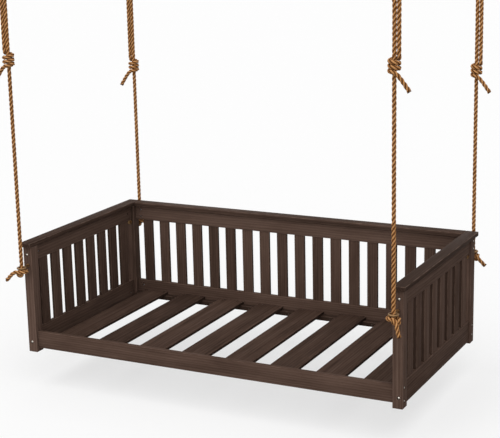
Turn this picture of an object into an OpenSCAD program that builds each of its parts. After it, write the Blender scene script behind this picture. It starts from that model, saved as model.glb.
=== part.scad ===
// Hanging swing bed: a slatted daybed that hangs from a ceiling on four ropes.
// Origin: centre of the four ceiling screws, on the ceiling plane. +X right, +Y back, +Z up.

/* [Hanging] */
// Height of the ceiling above the bottom of the posts
hang_h = 2050; // [1980:10:2300]
// Diameter of the ropes
rope_d = 20; // [17:0.5:21]
// Distance from a post's face to the centre of its eye bolt's ring
ring_off = 55; // [50:1:80]
// Height of the front left upper knot's lowest turn above the bottom of the posts
knot_fl_h = 1478; // [1200:1:1560]
// Height of the front right upper knot's lowest turn above the bottom of the posts
knot_fr_h = 1524; // [1200:1:1560]
// Height of the back left upper knot's lowest turn above the bottom of the posts
knot_bl_h = 1310; // [1200:1:1560]
// Height of the back right upper knot's lowest turn above the bottom of the posts
knot_br_h = 1360; // [1200:1:1560]

/* [Bed frame] */
// Width of the bed over the posts
bed_w = 2030; // [1900:10:2200]
// Depth of the bed over the posts
bed_d = 1040; // [950:5:1200]
// Width of a post, along the bed
post_w = 50; // [46:1:60]
// Depth of a post, front to back
post_d = 55; // [50:1:70]
// Height of a post
post_h = 554; // [500:1:620]
// Thickness of all the rails
rail_t = 22; // [20:1:26]
// Set-back of the end and back rails from the posts' outer faces
rail_inset = 9; // [4:1:12]
// Height of the upper rails
upper_rail_h = 80; // [64:1:90]
// Height of the end panels' lower rails
end_lower_h = 110; // [95:1:130]
// Height of the end panels' lower rails above the bottom of the posts
end_lower_z = 10; // [4:1:16]
// Height of the front rail
front_rail_h = 87; // [74:1:100]
// Height of the front and the back lower rail's underside above the bottom of the posts
long_rail_z = 22; // [14:1:24]
// Set-back of the front rail from the front posts' faces
front_inset = 12; // [6:1:14]

/* [Caps] */
// Thickness of the caps
cap_t = 22; // [18:1:30]
// Overhang of the caps past the posts' outer faces
cap_over = 14; // [4:1:20]
// Width of the back cap
back_cap_w = 64; // [50:1:80]

/* [Panel slats] */
// Width of an upright slat in an end panel
end_slat_w = 70; // [50:1:76]
// Width of an upright slat in the back panel
back_slat_w = 58; // [50:1:64]
// Thickness of an upright slat
slat_t = 16; // [12:0.5:17]
// Number of upright slats in an end panel
end_slats = 8; // [6:1:8]
// Number of upright slats in the back panel
back_slats = 18; // [14:1:18]
// Depth of a slat's seat in a rail
tenon = 10; // [6:1:12]

/* [Platform] */
// Height of the platform's top above the bottom of the posts
platform_z = 66; // [58:1:70]
// Number of platform slats
bed_slats = 8; // [8:1:8]
// Width of a platform slat
bed_slat_w = 146; // [110:1:160]
// Distance from a post's inner face to the platform slat at that end
bed_slat_end = 46.4; // [30:0.1:80]
// Thickness of a platform slat
bed_slat_t = 16; // [14:0.5:20]
// Depth of the part of a ledger that carries the platform slats
ledger_w = 35; // [30:1:45]
// Height of a ledger
ledger_h = 25; // [20:1:30]

/* [Fasteners] */
// Diameter of the furniture bolts
bolt_d = 6; // [5:0.5:8]
// Diameter of a furniture bolt's head
head_d = 13; // [11:0.5:18]
// Height of a furniture bolt's domed head
head_h = 3; // [2.5:0.1:5]
// Depth of the recess round a bolt's head
recess_h = 3; // [2:0.1:5]
// Diameter of a barrel nut
barrel_d = 10; // [9:0.5:13]
// Length of a barrel nut
barrel_l = 16; // [14:0.5:17]
// Distance from a rail's end to its barrel nut
barrel_in = 34; // [28:1:35]
// Diameter of an eye bolt's wire and shank
eye_d = 10; // [8:0.5:11]
// Distance from the upper rail's underside down to the eye bolt
eye_drop = 14; // [14:1:30]
// Diameter of a washer on an eye bolt
washer_d = 24; // [20:0.5:26]
// Thickness of a washer on an eye bolt
washer_t = 2.5; // [1.5:0.1:4]
// Thickness of a nut on an eye bolt
nut_t = 8; // [6:0.1:10]
// Diameter of the wood screws
screw_d = 4.5; // [3.5:0.1:5]
// Length of the screws that hold the platform slats
slat_screw_l = 35; // [28:1:38]
// Diameter of the cap dowels
dowel_d = 8; // [6:0.5:10]
// Length of the cap dowels
dowel_l = 38; // [30:1:40]

/* [Ceiling fittings] */
// Inner radius of a screw eye's ring
screw_eye_r = 30; // [29:0.5:36]
// Diameter of a screw eye's wire
screw_wire_d = 14; // [10:0.5:16]
// Diameter of the shank that goes into the ceiling
lag_d = 10; // [8:0.5:12]
// Length of the shank in the ceiling, without its point
lag_l = 70; // [50:1:100]
// Radius of the collar that meets the ceiling
collar_r = 16; // [12:0.5:20]
// Thickness of the collar that meets the ceiling
collar_h = 6; // [4:0.5:8]
// Inner radius of a thimble
thimble_r = 27; // [22:0.5:28]
// Thickness of a thimble under the rope
thimble_wall = 7; // [5:0.5:8]

/* [Hidden] */
$fn = 48;

// colours
stained_wood = "#4b3a33";
stained_slat = "#54423a";
tan_rope = "#c59a68";
zinc = "#b9bcc0";
dark_zinc = "#7d8084";
plain_wood = "#c8a878";

// clearances
bolt_gap = 0.1;      // bolt, dowel and screw in their holes, each side
slat_fit = 0.15;     // slat in its seat, each side
seat_gap = 0.2;      // rope in the thimble's groove
turn_gap = 0.5;      // between neighbouring turns of a knot
slide_gap = 0.4;     // thimble in the screw eye's ring
joint_gap = 0.5;     // rope's round end over the lower knot
ring_gap = 5;        // rope in the eye bolt's ring, each side
end_gap = 1;         // platform slat behind the front rail
through = 1;         // overshoot of a cut

// corners of the bed: [side, back], 0 = left or front, 1 = right or back
FL = [0, 0];
FR = [1, 0];
BL = [0, 1];
BR = [1, 1];
CORNERS = [FL, FR, BL, BR];

// heights above the bottom of the posts
upper_rail_z = post_h - upper_rail_h;
eye_z = upper_rail_z - eye_drop;
panel_z = end_lower_z + end_lower_h;
platform_bottom_z = platform_z - bed_slat_t;
ledger_z = platform_bottom_z - ledger_h;

// furniture bolts
bolt_r = bolt_d / 2;
face_bolt_rise = 42;     // lower face bolt above the lower end rail's edge
front_bolt_edge = 12;    // side bolt from the front rail's edges
upper_bolt_edge = 20;    // side bolt from the back upper rail's edges
lower_bolt_rise = 18;    // side bolt above the back lower rail's underside
lower_bolt_drop = 29;    // side bolt below the back lower rail's top
bolt_past = 4;           // bolt's end past its barrel nut
bolt_depth = barrel_in + barrel_d / 2 + bolt_past;
recess_gap = 1.5;        // recess wider than the head, each side
rail_mid = rail_inset + rail_t / 2;
front_mid = front_inset + rail_t / 2;
face_bolt_zs = [end_lower_z + face_bolt_rise, upper_rail_z + upper_rail_h / 2];
front_bolt_zs = [long_rail_z + front_bolt_edge, long_rail_z + front_rail_h - front_bolt_edge];
back_lower_zs = [long_rail_z + lower_bolt_rise, panel_z - lower_bolt_drop];
back_upper_zs = [upper_rail_z + upper_bolt_edge, post_h - upper_bolt_edge];
function side_bolt_zs(back) = back ? concat(back_lower_zs, back_upper_zs) : front_bolt_zs;
function side_bolt_y(back) = back ? rail_mid : front_mid;

// eye bolts
ring_r = rope_d / 2 + ring_gap + eye_d / 2;    // middle of the ring's wire
shoulder_r = 9;
shoulder_t = 4;
nut_r = eye_d * 0.98;
bolt_end = 4;            // shank past the nut

// dowels and screws
dowel_in_cap = cap_t - 8;
dowel_y = post_d - 15;
screw_r = screw_d / 2;
screw_head_r = screw_d * 0.95;
screw_head_h = 3;
slat_screw_x = bed_slat_w / 2 - 28;
front_ledger_y = front_inset + rail_t;
back_face_y = bed_d - rail_inset - rail_t;     // inner face of the back rails
back_rail_mid = bed_d - rail_mid;
back_ledger_y = back_face_y - ledger_w;
ledger_screw_l = ledger_w + rail_t - 8;

// platform
bed_slat_y = front_ledger_y + end_gap;
bed_slat_l = back_face_y - end_gap - bed_slat_y;
bed_slat_x = post_w + bed_slat_end;
bed_slat_pitch = (bed_w - 2 * bed_slat_x - bed_slat_w) / (bed_slats - 1);

// ceiling fittings
rope_r = rope_d / 2;
screw_ring_r = screw_eye_r + screw_wire_d / 2;
hook_drop = collar_h + screw_ring_r + screw_wire_d / 2 - 1;   // the ring runs 1 into the collar
thimble_drop = hook_drop + screw_eye_r - slide_gap + thimble_r;
groove_r = thimble_r + thimble_wall;
cheek_r = groove_r + 0.8 * rope_r;
cheek_w = rope_d + 5;
hook_x = bed_w / 2 - post_w / 2;
hook_y = bed_d / 2 + ring_off;

// ropes, in heights above the bottom of the posts
leg_step = rope_d + turn_gap;            // second leg beside the standing part
arc_step = 30;                           // degrees between rings over the thimble
arc_r = (groove_r + rope_r + seat_gap) / cos(arc_step / 2);
leg_drop = 140;                          // height over which the legs come together
leg_steps = 4;
rope_sides = 10;
knot_sides = 6;
turn_step = 15;                          // degrees between rings of a turn
knot_turns = 2.75;
knot_bend = 0.8 * rope_d;                // bend from the leg into the turns
knot_run = rope_d;                       // straight run above the turns
knot_r = leg_step;
pitch = 1.05 * rope_d;
rise_angle = atan(pitch / (2 * PI * knot_r));
// rope's free end past the upper knot's last turn: out, back, up
UPPER_TAIL = [[11, 0, -3], [23, 0, -13], [36, 1, -28], [49, 2, -45], [62, 3, -63], [75, 4, -81]];

// lower knots, round the axis below the eye bolt's ring
low_r = 24;                              // radius of the turn
low_sweep = 270;                         // degrees of the turn
low_pitch = 10;                          // rise in a full turn
low_sag = 9;                             // depth of the bight under the middle
low_bend = 10;                           // bend from the bight into the turn
low_top = eye_d / 2 + rope_r + 1;        // the turn's top below the ring's middle
low_angle = atan(low_pitch / (2 * PI * low_r));
low_bend_sweep = low_bend * (1 - sin(low_angle)) / low_r * 180 / PI;
// length of rope down the middle
low_core = low_top + low_pitch * (low_sweep - low_bend_sweep) / 360 + low_bend * cos(low_angle);
// rope's free end past the lower knot's turn, for a tail that lies out and one that hangs down
LOWER_TAIL_OUT = [[13, -4, 0], [28, -8, -5], [43, -9, -17], [58, -8, -32], [73, -6, -47]];
LOWER_TAIL_DOWN = [[12, -5, -1], [22, -10, -8], [28, -12, -22], [31, -11, -40], [34, -9, -58], [37, -7, -76]];

// ---------- sweeping a rope along points ----------
function unit(v) = v / norm(v);
function tangent(p, i) =
    unit(p[min(i + 1, len(p) - 1)] - p[max(i - 1, 0)]);
function square_to(n, t) = unit(n - (n * t) * t);
function normals(p) = [
    for (i = 0, n = square_to([0.3, 1, 0.2], tangent(p, 0));
         i < len(p);
         i = i + 1, n = i < len(p) ? square_to(n, tangent(p, i)) : n) n
];
// a curve through the points p, with n steps from one to the next
function curve_at(a, b, c, d, t) =
    b + 0.5 * t * ((c - a) + t * (2 * a - 5 * b + 4 * c - d + t * (3 * (b - c) + d - a)));
function smooth(p, n) = [
    for (i = [0 : len(p) - 2], k = [0 : n - 1])
        curve_at(p[max(i - 1, 0)], p[i], p[i + 1], p[min(i + 2, len(p) - 1)], k / n),
    p[len(p) - 1]
];
function ring_points(c, t, n, r, sides) = [
    for (k = [0 : sides - 1])
        c + r * (cos(360 * k / sides) * n + sin(360 * k / sides) * cross(t, n))
];
function swept_points(p, radii, sides) =
    let (n = normals(p))
    [for (i = [0 : len(p) - 1]) each ring_points(p[i], tangent(p, i), n[i], radii[i], sides)];
function swept_faces(rings, sides) = concat(
    [for (i = [0 : rings - 2], k = [0 : sides - 1])
        let (a = i * sides + k, b = i * sides + (k + 1) % sides)
        each [[a, b + sides, b], [a, a + sides, b + sides]]],
    [for (k = [1 : sides - 2]) [0, k, k + 1]],
    [for (k = [1 : sides - 2]) let (e = (rings - 1) * sides) [e, e + k + 1, e + k]]
);
module swept(p, radii, sides) {
    polyhedron(points = swept_points(p, radii, sides), faces = swept_faces(len(p), sides));
}
function same_radius(p, r) = [for (i = [0 : len(p) - 1]) r];
// least gap of a tube to itself, over points more than two diameters apart along it
function self_gap(p, skip) =
    min([for (i = [0 : len(p) - 1 - skip], j = [i + skip : len(p) - 1]) norm(p[i] - p[j])]) - rope_d;

// ---------- rope routes, for a right-hand rope ----------
function ease(t) = (1 - cos(180 * t)) / 2;
function leg(from_x, to_x, z_top) = [
    for (k = [1 : leg_steps])
        let (t = k / leg_steps)
        [from_x + (to_x - from_x) * ease(t), 0, z_top - leg_drop * t]
];
function reversed(p) = [for (i = [len(p) - 1 : -1 : 0]) p[i]];
function knot_top_z(knot_h) =
    knot_h - hang_h + knot_run + knot_bend * cos(rise_angle)
        + pitch * (knot_turns - knot_bend * (1 - sin(rise_angle)) / (2 * PI * knot_r));
ball_angles = [75, 45, 20];
pivot_z = eye_z - hang_h;
function rope_route(knot_h) = concat(
    [for (a = ball_angles) [0, 0, pivot_z - rope_r * sin(a)]],
    [[0, 0, pivot_z]],
    reversed(leg(-arc_r, 0, -thimble_drop)),
    [for (a = [180 : -arc_step : 0]) [arc_r * cos(a), 0, arc_r * sin(a) - thimble_drop]],
    leg(arc_r, leg_step, -thimble_drop),
    [[leg_step, 0, knot_top_z(knot_h)]]
);
function rope_radii(p) = [
    for (i = [0 : len(p) - 1]) i < len(ball_angles) ? rope_r * cos(ball_angles[i]) : rope_r
];
// a point on a cylinder of radius r, a length u round it and v down it
function on_cylinder(r, u, v) = [r * cos(u / r * 180 / PI), r * sin(u / r * 180 / PI), -v];
upper_bend_steps = 5;
function upper_knot_route() =
    let (
        turned = 90 - rise_angle,
        u0 = knot_bend * (1 - cos(turned)),
        v0 = knot_run + knot_bend * sin(turned),
        a0 = u0 / knot_r * 180 / PI,
        a1 = 360 * knot_turns,
        steps = ceil((a1 - a0) / turn_step),
        last = on_cylinder(knot_r, a1 * PI / 180 * knot_r, v0 + pitch * (a1 - a0) / 360)
    )
    concat(
        [for (k = [0, 0.5]) [knot_r, 0, -k * knot_run]],
        [for (k = [0 : upper_bend_steps - 1])
            let (b = turned * k / upper_bend_steps)
            on_cylinder(knot_r, knot_bend * (1 - cos(b)), knot_run + knot_bend * sin(b))],
        [for (k = [0 : steps - 1])
            let (a = a0 + (a1 - a0) * k / steps)
            on_cylinder(knot_r, a * PI / 180 * knot_r, v0 + pitch * (a - a0) / 360)],
        smooth(concat([last], [for (q = UPPER_TAIL) last + q]), 2)
    );
low_core_steps = 3;
low_bight_steps = 8;
low_bend_steps = 4;
function lower_knot_route(tail) =
    let (
        turned = 90 - low_angle,
        v0 = low_core - low_bend * sin(turned),
        a0 = low_bend_sweep,
        start = 270 - low_sweep,
        steps = ceil((low_sweep - a0) / turn_step),
        last = [0, -low_r, -low_top]
    )
    concat(
        [for (k = [0 : low_core_steps - 1])
            [0, 0, -(rope_r + joint_gap) - (low_core - rope_r - joint_gap) * k / low_core_steps]],
        [for (k = [0 : low_bight_steps - 1])
            let (t = k / low_bight_steps, r = low_r * ease(t))
            [r * cos(start), r * sin(start), -low_core - low_sag * sin(180 * t)]],
        [for (k = [0 : low_bend_steps - 1])
            let (b = turned * k / low_bend_steps)
            turned_about(start, on_cylinder(low_r, low_bend * (1 - cos(b)), low_core - low_bend * sin(b)))],
        [for (k = [0 : steps - 1])
            let (a = a0 + (low_sweep - a0) * k / steps)
            turned_about(start, on_cylinder(low_r, a * PI / 180 * low_r, v0 - low_pitch * (a - a0) / 360))],
        smooth(concat([last], [for (q = tail) last + q]), 2)
    );
function turned_about(a, p) =
    [p[0] * cos(a) - p[1] * sin(a), p[0] * sin(a) + p[1] * cos(a), p[2]];

echo(upper_knot_gap = self_gap(upper_knot_route(), 12));
echo(lower_knot_gap = self_gap(lower_knot_route(LOWER_TAIL_OUT), 10));
echo(lower_knot_down_gap = self_gap(lower_knot_route(LOWER_TAIL_DOWN), 10));

// ---------- placing ----------
module flip(x, y) {
    mirror(x ? [1, 0, 0] : [0, 0, 0])
        mirror(y ? [0, 1, 0] : [0, 0, 0])
            children();
}
module in_bed() {
    translate([-bed_w / 2, -bed_d / 2, -hang_h])
        children();
}
// children are drawn for the front left corner, from its post's outer lower corner
module at_corner(c) {
    in_bed()
        translate([c[0] * bed_w, c[1] * bed_d, 0])
            flip(c[0], c[1])
                children();
}
// children are drawn for a right-hand rope, below the ceiling at its screw
module at_hook(c) {
    translate([(2 * c[0] - 1) * hook_x, (2 * c[1] - 1) * hook_y, 0])
        flip(1 - c[0], 0)
            children();
}
module at_side(side) {
    in_bed()
        translate([side * bed_w, 0, 0])
            flip(side, 0)
                children();
}
module along_x(r, x0, x1) {
    translate([x0, 0, 0])
        rotate([0, 90, 0])
            cylinder(r = r, h = x1 - x0);
}
module along_y(r, y0, y1) {
    translate([0, y0, 0])
        rotate([-90, 0, 0])
            cylinder(r = r, h = y1 - y0);
}

// ---------- ceiling fittings ----------
module screw_eye(c) {
    color(dark_zinc) at_hook(c) {
        translate([0, 0, -hook_drop])
            rotate([0, 90, 0])
                rotate_extrude()
                    translate([screw_ring_r, 0])
                        circle(r = screw_wire_d / 2);
        translate([0, 0, -collar_h])
            cylinder(r = collar_r, h = collar_h);
        cylinder(r = lag_d / 2, h = lag_l);
        translate([0, 0, lag_l])
            cylinder(r1 = lag_d / 2, r2 = 1, h = lag_d);
    }
}
module thimble(c) {
    color(zinc) at_hook(c)
        translate([0, 0, -thimble_drop])
            rotate([90, 0, 0])
                rotate_extrude()
                    difference() {
                        intersection() {
                            translate([thimble_r, -cheek_w / 2])
                                square([cheek_r - thimble_r, cheek_w]);
                            translate([thimble_drop - hook_drop, 0])
                                circle(r = screw_eye_r - slide_gap);
                        }
                        translate([groove_r + rope_r, 0])
                            circle(r = rope_r + seat_gap);
                    }
}

// ---------- ropes and knots ----------
module rope(c, knot_h) {
    route = rope_route(knot_h);
    color(tan_rope) at_hook(c)
        swept(route, rope_radii(route), rope_sides);
}
module upper_knot(c, knot_h) {
    route = upper_knot_route();
    color(tan_rope) at_hook(c)
        translate([0, 0, knot_top_z(knot_h)])
            swept(route, same_radius(route, rope_r), knot_sides);
}
module lower_knot(c, tail) {
    route = lower_knot_route(tail);
    color(tan_rope) at_hook(c)
        translate([0, 0, pivot_z])
            swept(route, same_radius(route, rope_r), knot_sides);
}

// ---------- eye bolts ----------
module eye_bolt(c) {
    color(zinc) at_corner(c)
        translate([post_w / 2, 0, eye_z]) {
            translate([0, -ring_off, 0])
                rotate_extrude()
                    translate([ring_r, 0])
                        circle(r = eye_d / 2);
            along_y(eye_d / 2, -ring_off + ring_r, post_d + washer_t + nut_t + bolt_end);
            along_y(shoulder_r, -shoulder_t, 0);
        }
}
module eye_bolt_washers() {
    color(zinc)
        for (c = CORNERS)
            at_corner(c)
                translate([post_w / 2, 0, eye_z])
                    difference() {
                        along_y(washer_d / 2, post_d, post_d + washer_t);
                        along_y(eye_d / 2 + bolt_gap, post_d - through, post_d + washer_t + through);
                    }
}
module eye_bolt_nuts() {
    y0 = post_d + washer_t;
    color(zinc)
        for (c = CORNERS)
            at_corner(c)
                translate([post_w / 2, y0, eye_z])
                    difference() {
                        rotate([-90, 0, 0])
                            cylinder(r = nut_r, h = nut_t, $fn = 6);
                        along_y(eye_d / 2 + bolt_gap, -through, nut_t + through);
                    }
}

// ---------- posts ----------
module post(c) {
    color(stained_wood) at_corner(c)
        difference() {
            cube([post_w, post_d, post_h]);
            translate([post_w / 2, 0, eye_z])
                along_y(eye_d / 2 + bolt_gap, -through, post_d + through);
            for (z = face_bolt_zs)
                translate([rail_mid, 0, z]) {
                    along_y(bolt_r + bolt_gap, 0, post_d + through);
                    along_y(head_d / 2 + recess_gap, -through, recess_h);
                }
            for (z = side_bolt_zs(c[1]))
                translate([0, side_bolt_y(c[1]), z]) {
                    along_x(bolt_r + bolt_gap, 0, post_w + through);
                    along_x(head_d / 2 + recess_gap, -through, recess_h);
                }
            translate([post_w / 2, dowel_y, post_h - (dowel_l - dowel_in_cap)])
                cylinder(r = dowel_d / 2 + bolt_gap, h = dowel_l);
        }
}

// ---------- caps ----------
module cap_dowel_hole() {
    translate([0, 0, post_h - through])
        cylinder(r = dowel_d / 2 + bolt_gap, h = dowel_in_cap + through);
}
module end_cap(side) {
    color(stained_wood) at_side(side)
        difference() {
            translate([-cap_over, -cap_over, post_h])
                cube([post_w + cap_over, bed_d + 2 * cap_over, cap_t]);
            for (y = [dowel_y, bed_d - dowel_y])
                translate([post_w / 2, y, 0])
                    cap_dowel_hole();
            translate([rail_mid, bed_d / 2, 0])
                cap_dowel_hole();
        }
}
module back_cap() {
    color(stained_wood) in_bed()
        difference() {
            translate([post_w, bed_d + cap_over - back_cap_w, post_h])
                cube([bed_w - 2 * post_w, back_cap_w, cap_t]);
            for (x = [bed_w / 3, bed_w * 2 / 3])
                translate([x, back_rail_mid, 0])
                    cap_dowel_hole();
        }
}
module cap_dowel(x, y) {
    translate([x, y, post_h - (dowel_l - dowel_in_cap)])
        cylinder(r = dowel_d / 2, h = dowel_l);
}
module cap_dowels() {
    color(plain_wood) in_bed() {
        for (x = [0, 1], y = [0, 1])
            cap_dowel(x ? bed_w - post_w / 2 : post_w / 2, y ? bed_d - dowel_y : dowel_y);
        for (x = [rail_mid, bed_w - rail_mid])
            cap_dowel(x, bed_d / 2);
        for (x = [bed_w / 3, bed_w * 2 / 3])
            cap_dowel(x, back_rail_mid);
    }
}

// ---------- panel slats and their seats ----------
end_bay = bed_d - 2 * post_d;
back_bay = bed_w - 2 * post_w;
end_gap_w = (end_bay - end_slats * end_slat_w) / (end_slats + 1);
back_gap_w = (back_bay - back_slats * back_slat_w) / (back_slats + 1);
function end_slat_y(i) = post_d + end_gap_w + i * (end_slat_w + end_gap_w);
function back_slat_x(i) = post_w + back_gap_w + i * (back_slat_w + back_gap_w);
slat_z = panel_z - tenon;
slat_h = upper_rail_z + tenon - slat_z;
module end_slat_bars(gap) {
    for (i = [0 : end_slats - 1])
        translate([rail_mid - slat_t / 2 - gap, end_slat_y(i) - gap, slat_z])
            cube([slat_t + 2 * gap, end_slat_w + 2 * gap, slat_h]);
}
module back_slat_bars(gap) {
    for (i = [0 : back_slats - 1])
        translate([back_slat_x(i) - gap, back_rail_mid - slat_t / 2 - gap, slat_z])
            cube([back_slat_w + 2 * gap, slat_t + 2 * gap, slat_h]);
}
module end_panel_slats(side) {
    color(stained_slat) at_side(side)
        end_slat_bars(0);
}
module back_slats_group() {
    color(stained_slat) in_bed()
        back_slat_bars(0);
}

// ---------- rails ----------
// bolt holes in both ends of an end rail, and the barrel nuts' seats from its inner face
module end_rail_holes(z) {
    for (b = [0, 1])
        translate([0, b * bed_d, 0])
            flip(0, b)
                translate([rail_mid, post_d, z]) {
                    along_y(bolt_r + bolt_gap, -through, bolt_depth + bolt_gap);
                    translate([0, barrel_in, 0])
                        along_x(barrel_d / 2 + bolt_gap, -barrel_l / 2 - bolt_gap, rail_t / 2 + through);
                }
}
module end_rail(side, z, h, bolt_z) {
    at_side(side)
        difference() {
            translate([rail_inset, post_d, z])
                cube([rail_t, end_bay, h]);
            end_slat_bars(slat_fit);
            end_rail_holes(bolt_z);
            if (z > eye_z)
                translate([rail_mid, bed_d / 2, post_h - (dowel_l - dowel_in_cap)])
                    cylinder(r = dowel_d / 2 + bolt_gap, h = dowel_l);
        }
}
module end_upper_rail(side) {
    color(stained_wood)
        end_rail(side, upper_rail_z, upper_rail_h, face_bolt_zs[1]);
}
module end_lower_rail(side) {
    color(stained_wood)
        end_rail(side, end_lower_z, end_lower_h, face_bolt_zs[0]);
}
// the same along the bed: inward is +1 where the inner face is towards +Y, -1 towards -Y
module long_rail_holes(mid, zs, inward) {
    for (s = [0, 1], z = zs)
        translate([s * bed_w, 0, 0])
            flip(s, 0)
                translate([post_w, mid, z]) {
                    along_x(bolt_r + bolt_gap, -through, bolt_depth + bolt_gap);
                    translate([barrel_in, 0, 0])
                        flip(0, inward < 0)
                            along_y(barrel_d / 2 + bolt_gap, -barrel_l / 2 - bolt_gap, rail_t / 2 + through);
                }
}
module back_upper_rail() {
    color(stained_wood) in_bed()
        difference() {
            translate([post_w, back_face_y, upper_rail_z])
                cube([back_bay, rail_t, upper_rail_h]);
            back_slat_bars(slat_fit);
            long_rail_holes(back_rail_mid, back_upper_zs, -1);
            for (x = [bed_w / 3, bed_w * 2 / 3])
                translate([x, back_rail_mid, post_h - (dowel_l - dowel_in_cap)])
                    cylinder(r = dowel_d / 2 + bolt_gap, h = dowel_l);
        }
}
module back_lower_rail() {
    color(stained_wood) in_bed()
        difference() {
            translate([post_w, back_face_y, long_rail_z])
                cube([back_bay, rail_t, panel_z - long_rail_z]);
            back_slat_bars(slat_fit);
            long_rail_holes(back_rail_mid, back_lower_zs, -1);
            ledger_screws_at(true, bolt_gap);
        }
}
module front_rail() {
    color(stained_wood) in_bed()
        difference() {
            translate([post_w, front_inset, long_rail_z])
                cube([back_bay, rail_t, front_rail_h]);
            long_rail_holes(front_mid, front_bolt_zs, 1);
            ledger_screws_at(false, bolt_gap);
        }
}

// ---------- platform ----------
function bed_slat_mid(i) = bed_slat_x + bed_slat_w / 2 + i * bed_slat_pitch;
front_screw_y = front_ledger_y + ledger_w / 2;
back_screw_y = back_ledger_y + ledger_w / 2;
// shank and countersunk head of a wood screw, head up at the origin
module wood_screw(length, gap) {
    translate([0, 0, -length - gap])
        cylinder(r = screw_r + gap, h = length + gap);
    translate([0, 0, -screw_head_h])
        cylinder(r1 = screw_r + gap, r2 = screw_head_r + gap, h = screw_head_h);
    if (gap > 0)
        cylinder(r = screw_head_r + gap, h = through);
}
module slat_screws_at(i, gap) {
    for (x = [-slat_screw_x, slat_screw_x], y = [front_screw_y, back_screw_y])
        translate([bed_slat_mid(i) + x, y, platform_z])
            wood_screw(slat_screw_l, gap);
}
// the screws through a ledger into its rail lie between the platform slats
module ledger_screws_at(back, gap) {
    for (i = [0 : bed_slats - 2])
        translate([bed_slat_mid(i) + bed_slat_pitch / 2,
                   back ? back_ledger_y : front_ledger_y + ledger_w,
                   ledger_z + ledger_h / 2])
            rotate([back ? 90 : -90, 0, 0])
                wood_screw(ledger_screw_l, gap);
}
module bed_slat(i) {
    color(stained_slat) in_bed()
        difference() {
            translate([bed_slat_mid(i) - bed_slat_w / 2, bed_slat_y, platform_bottom_z])
                cube([bed_slat_w, bed_slat_l, bed_slat_t]);
            slat_screws_at(i, bolt_gap);
        }
}
module front_ledger() {
    color(stained_wood) in_bed()
        difference() {
            translate([post_w, front_ledger_y, ledger_z])
                cube([back_bay, ledger_w, ledger_h]);
            for (i = [0 : bed_slats - 1])
                slat_screws_at(i, bolt_gap);
            ledger_screws_at(false, bolt_gap);
        }
}
module back_ledger() {
    color(stained_wood) in_bed()
        difference() {
            translate([post_w, back_ledger_y, ledger_z])
                cube([back_bay, ledger_w, ledger_h]);
            for (i = [0 : bed_slats - 1])
                slat_screws_at(i, bolt_gap);
            ledger_screws_at(true, bolt_gap);
        }
}
module slat_screws() {
    color(dark_zinc) in_bed()
        for (i = [0 : bed_slats - 1])
            slat_screws_at(i, 0);
}
module ledger_screws() {
    color(dark_zinc) in_bed()
        for (back = [false, true])
            ledger_screws_at(back, 0);
}

// ---------- furniture bolts ----------
// a bolt along +Z with its head's base at the origin and its dome below
module furniture_bolt(length) {
    ball_r = (head_d * head_d / 4 + head_h * head_h) / (2 * head_h);
    cylinder(r = bolt_r, h = length);
    intersection() {
        translate([0, 0, ball_r - head_h])
            sphere(r = ball_r);
        translate([0, 0, -head_h - through])
            cylinder(r = head_d / 2, h = head_h + through);
    }
}
module face_bolts() {
    color(zinc)
        for (c = CORNERS, z = face_bolt_zs)
            at_corner(c)
                translate([rail_mid, recess_h, z])
                    rotate([-90, 0, 0])
                        furniture_bolt(post_d - recess_h + bolt_depth);
}
module side_bolts() {
    color(zinc)
        for (c = CORNERS, z = side_bolt_zs(c[1]))
            at_corner(c)
                translate([recess_h, side_bolt_y(c[1]), z])
                    rotate([0, 90, 0])
                        furniture_bolt(post_w - recess_h + bolt_depth);
}
module barrel_nut() {
    difference() {
        translate([0, 0, -barrel_l / 2])
            cylinder(r = barrel_d / 2, h = barrel_l);
        along_y(bolt_r + bolt_gap, -barrel_d, barrel_d);
    }
}
module barrel_nuts() {
    color(zinc)
        for (c = CORNERS) {
            for (z = face_bolt_zs)
                at_corner(c)
                    translate([rail_mid, post_d + barrel_in, z])
                        rotate([0, 90, 0])
                            barrel_nut();
            for (z = side_bolt_zs(c[1]))
                at_corner(c)
                    translate([post_w + barrel_in, side_bolt_y(c[1]), z])
                        rotate([90, 0, 0])
                            rotate([0, 0, 90])
                                barrel_nut();
        }
}

screw_eye(FL);  // screw_eye_fl
screw_eye(FR);  // screw_eye_fr
screw_eye(BL);  // screw_eye_bl
screw_eye(BR);  // screw_eye_br
thimble(FL);  // thimble_fl
thimble(FR);  // thimble_fr
thimble(BL);  // thimble_bl
thimble(BR);  // thimble_br
rope(FL, knot_fl_h);  // rope_fl
rope(FR, knot_fr_h);  // rope_fr
rope(BL, knot_bl_h);  // rope_bl
rope(BR, knot_br_h);  // rope_br
upper_knot(FL, knot_fl_h);  // upper_knot_fl
upper_knot(FR, knot_fr_h);  // upper_knot_fr
upper_knot(BL, knot_bl_h);  // upper_knot_bl
upper_knot(BR, knot_br_h);  // upper_knot_br
lower_knot(FL, LOWER_TAIL_OUT);  // lower_knot_fl
lower_knot(FR, LOWER_TAIL_DOWN);  // lower_knot_fr
lower_knot(BL, LOWER_TAIL_OUT);  // lower_knot_bl
lower_knot(BR, LOWER_TAIL_OUT);  // lower_knot_br
eye_bolt(FL);  // eye_bolt_fl
eye_bolt(FR);  // eye_bolt_fr
eye_bolt(BL);  // eye_bolt_bl
eye_bolt(BR);  // eye_bolt_br
eye_bolt_washers();
eye_bolt_nuts();
post(FL);  // post_fl
post(FR);  // post_fr
post(BL);  // post_bl
post(BR);  // post_br
end_cap(0);  // left_cap
end_cap(1);  // right_cap
back_cap();
end_upper_rail(0);  // left_upper_rail
end_lower_rail(0);  // left_lower_rail
end_panel_slats(0);  // left_slats
end_upper_rail(1);  // right_upper_rail
end_lower_rail(1);  // right_lower_rail
end_panel_slats(1);  // right_slats
back_upper_rail();
back_lower_rail();
back_slats_group();
front_rail();
front_ledger();
back_ledger();
bed_slat(0);  // bed_slat_1
bed_slat(1);  // bed_slat_2
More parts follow.
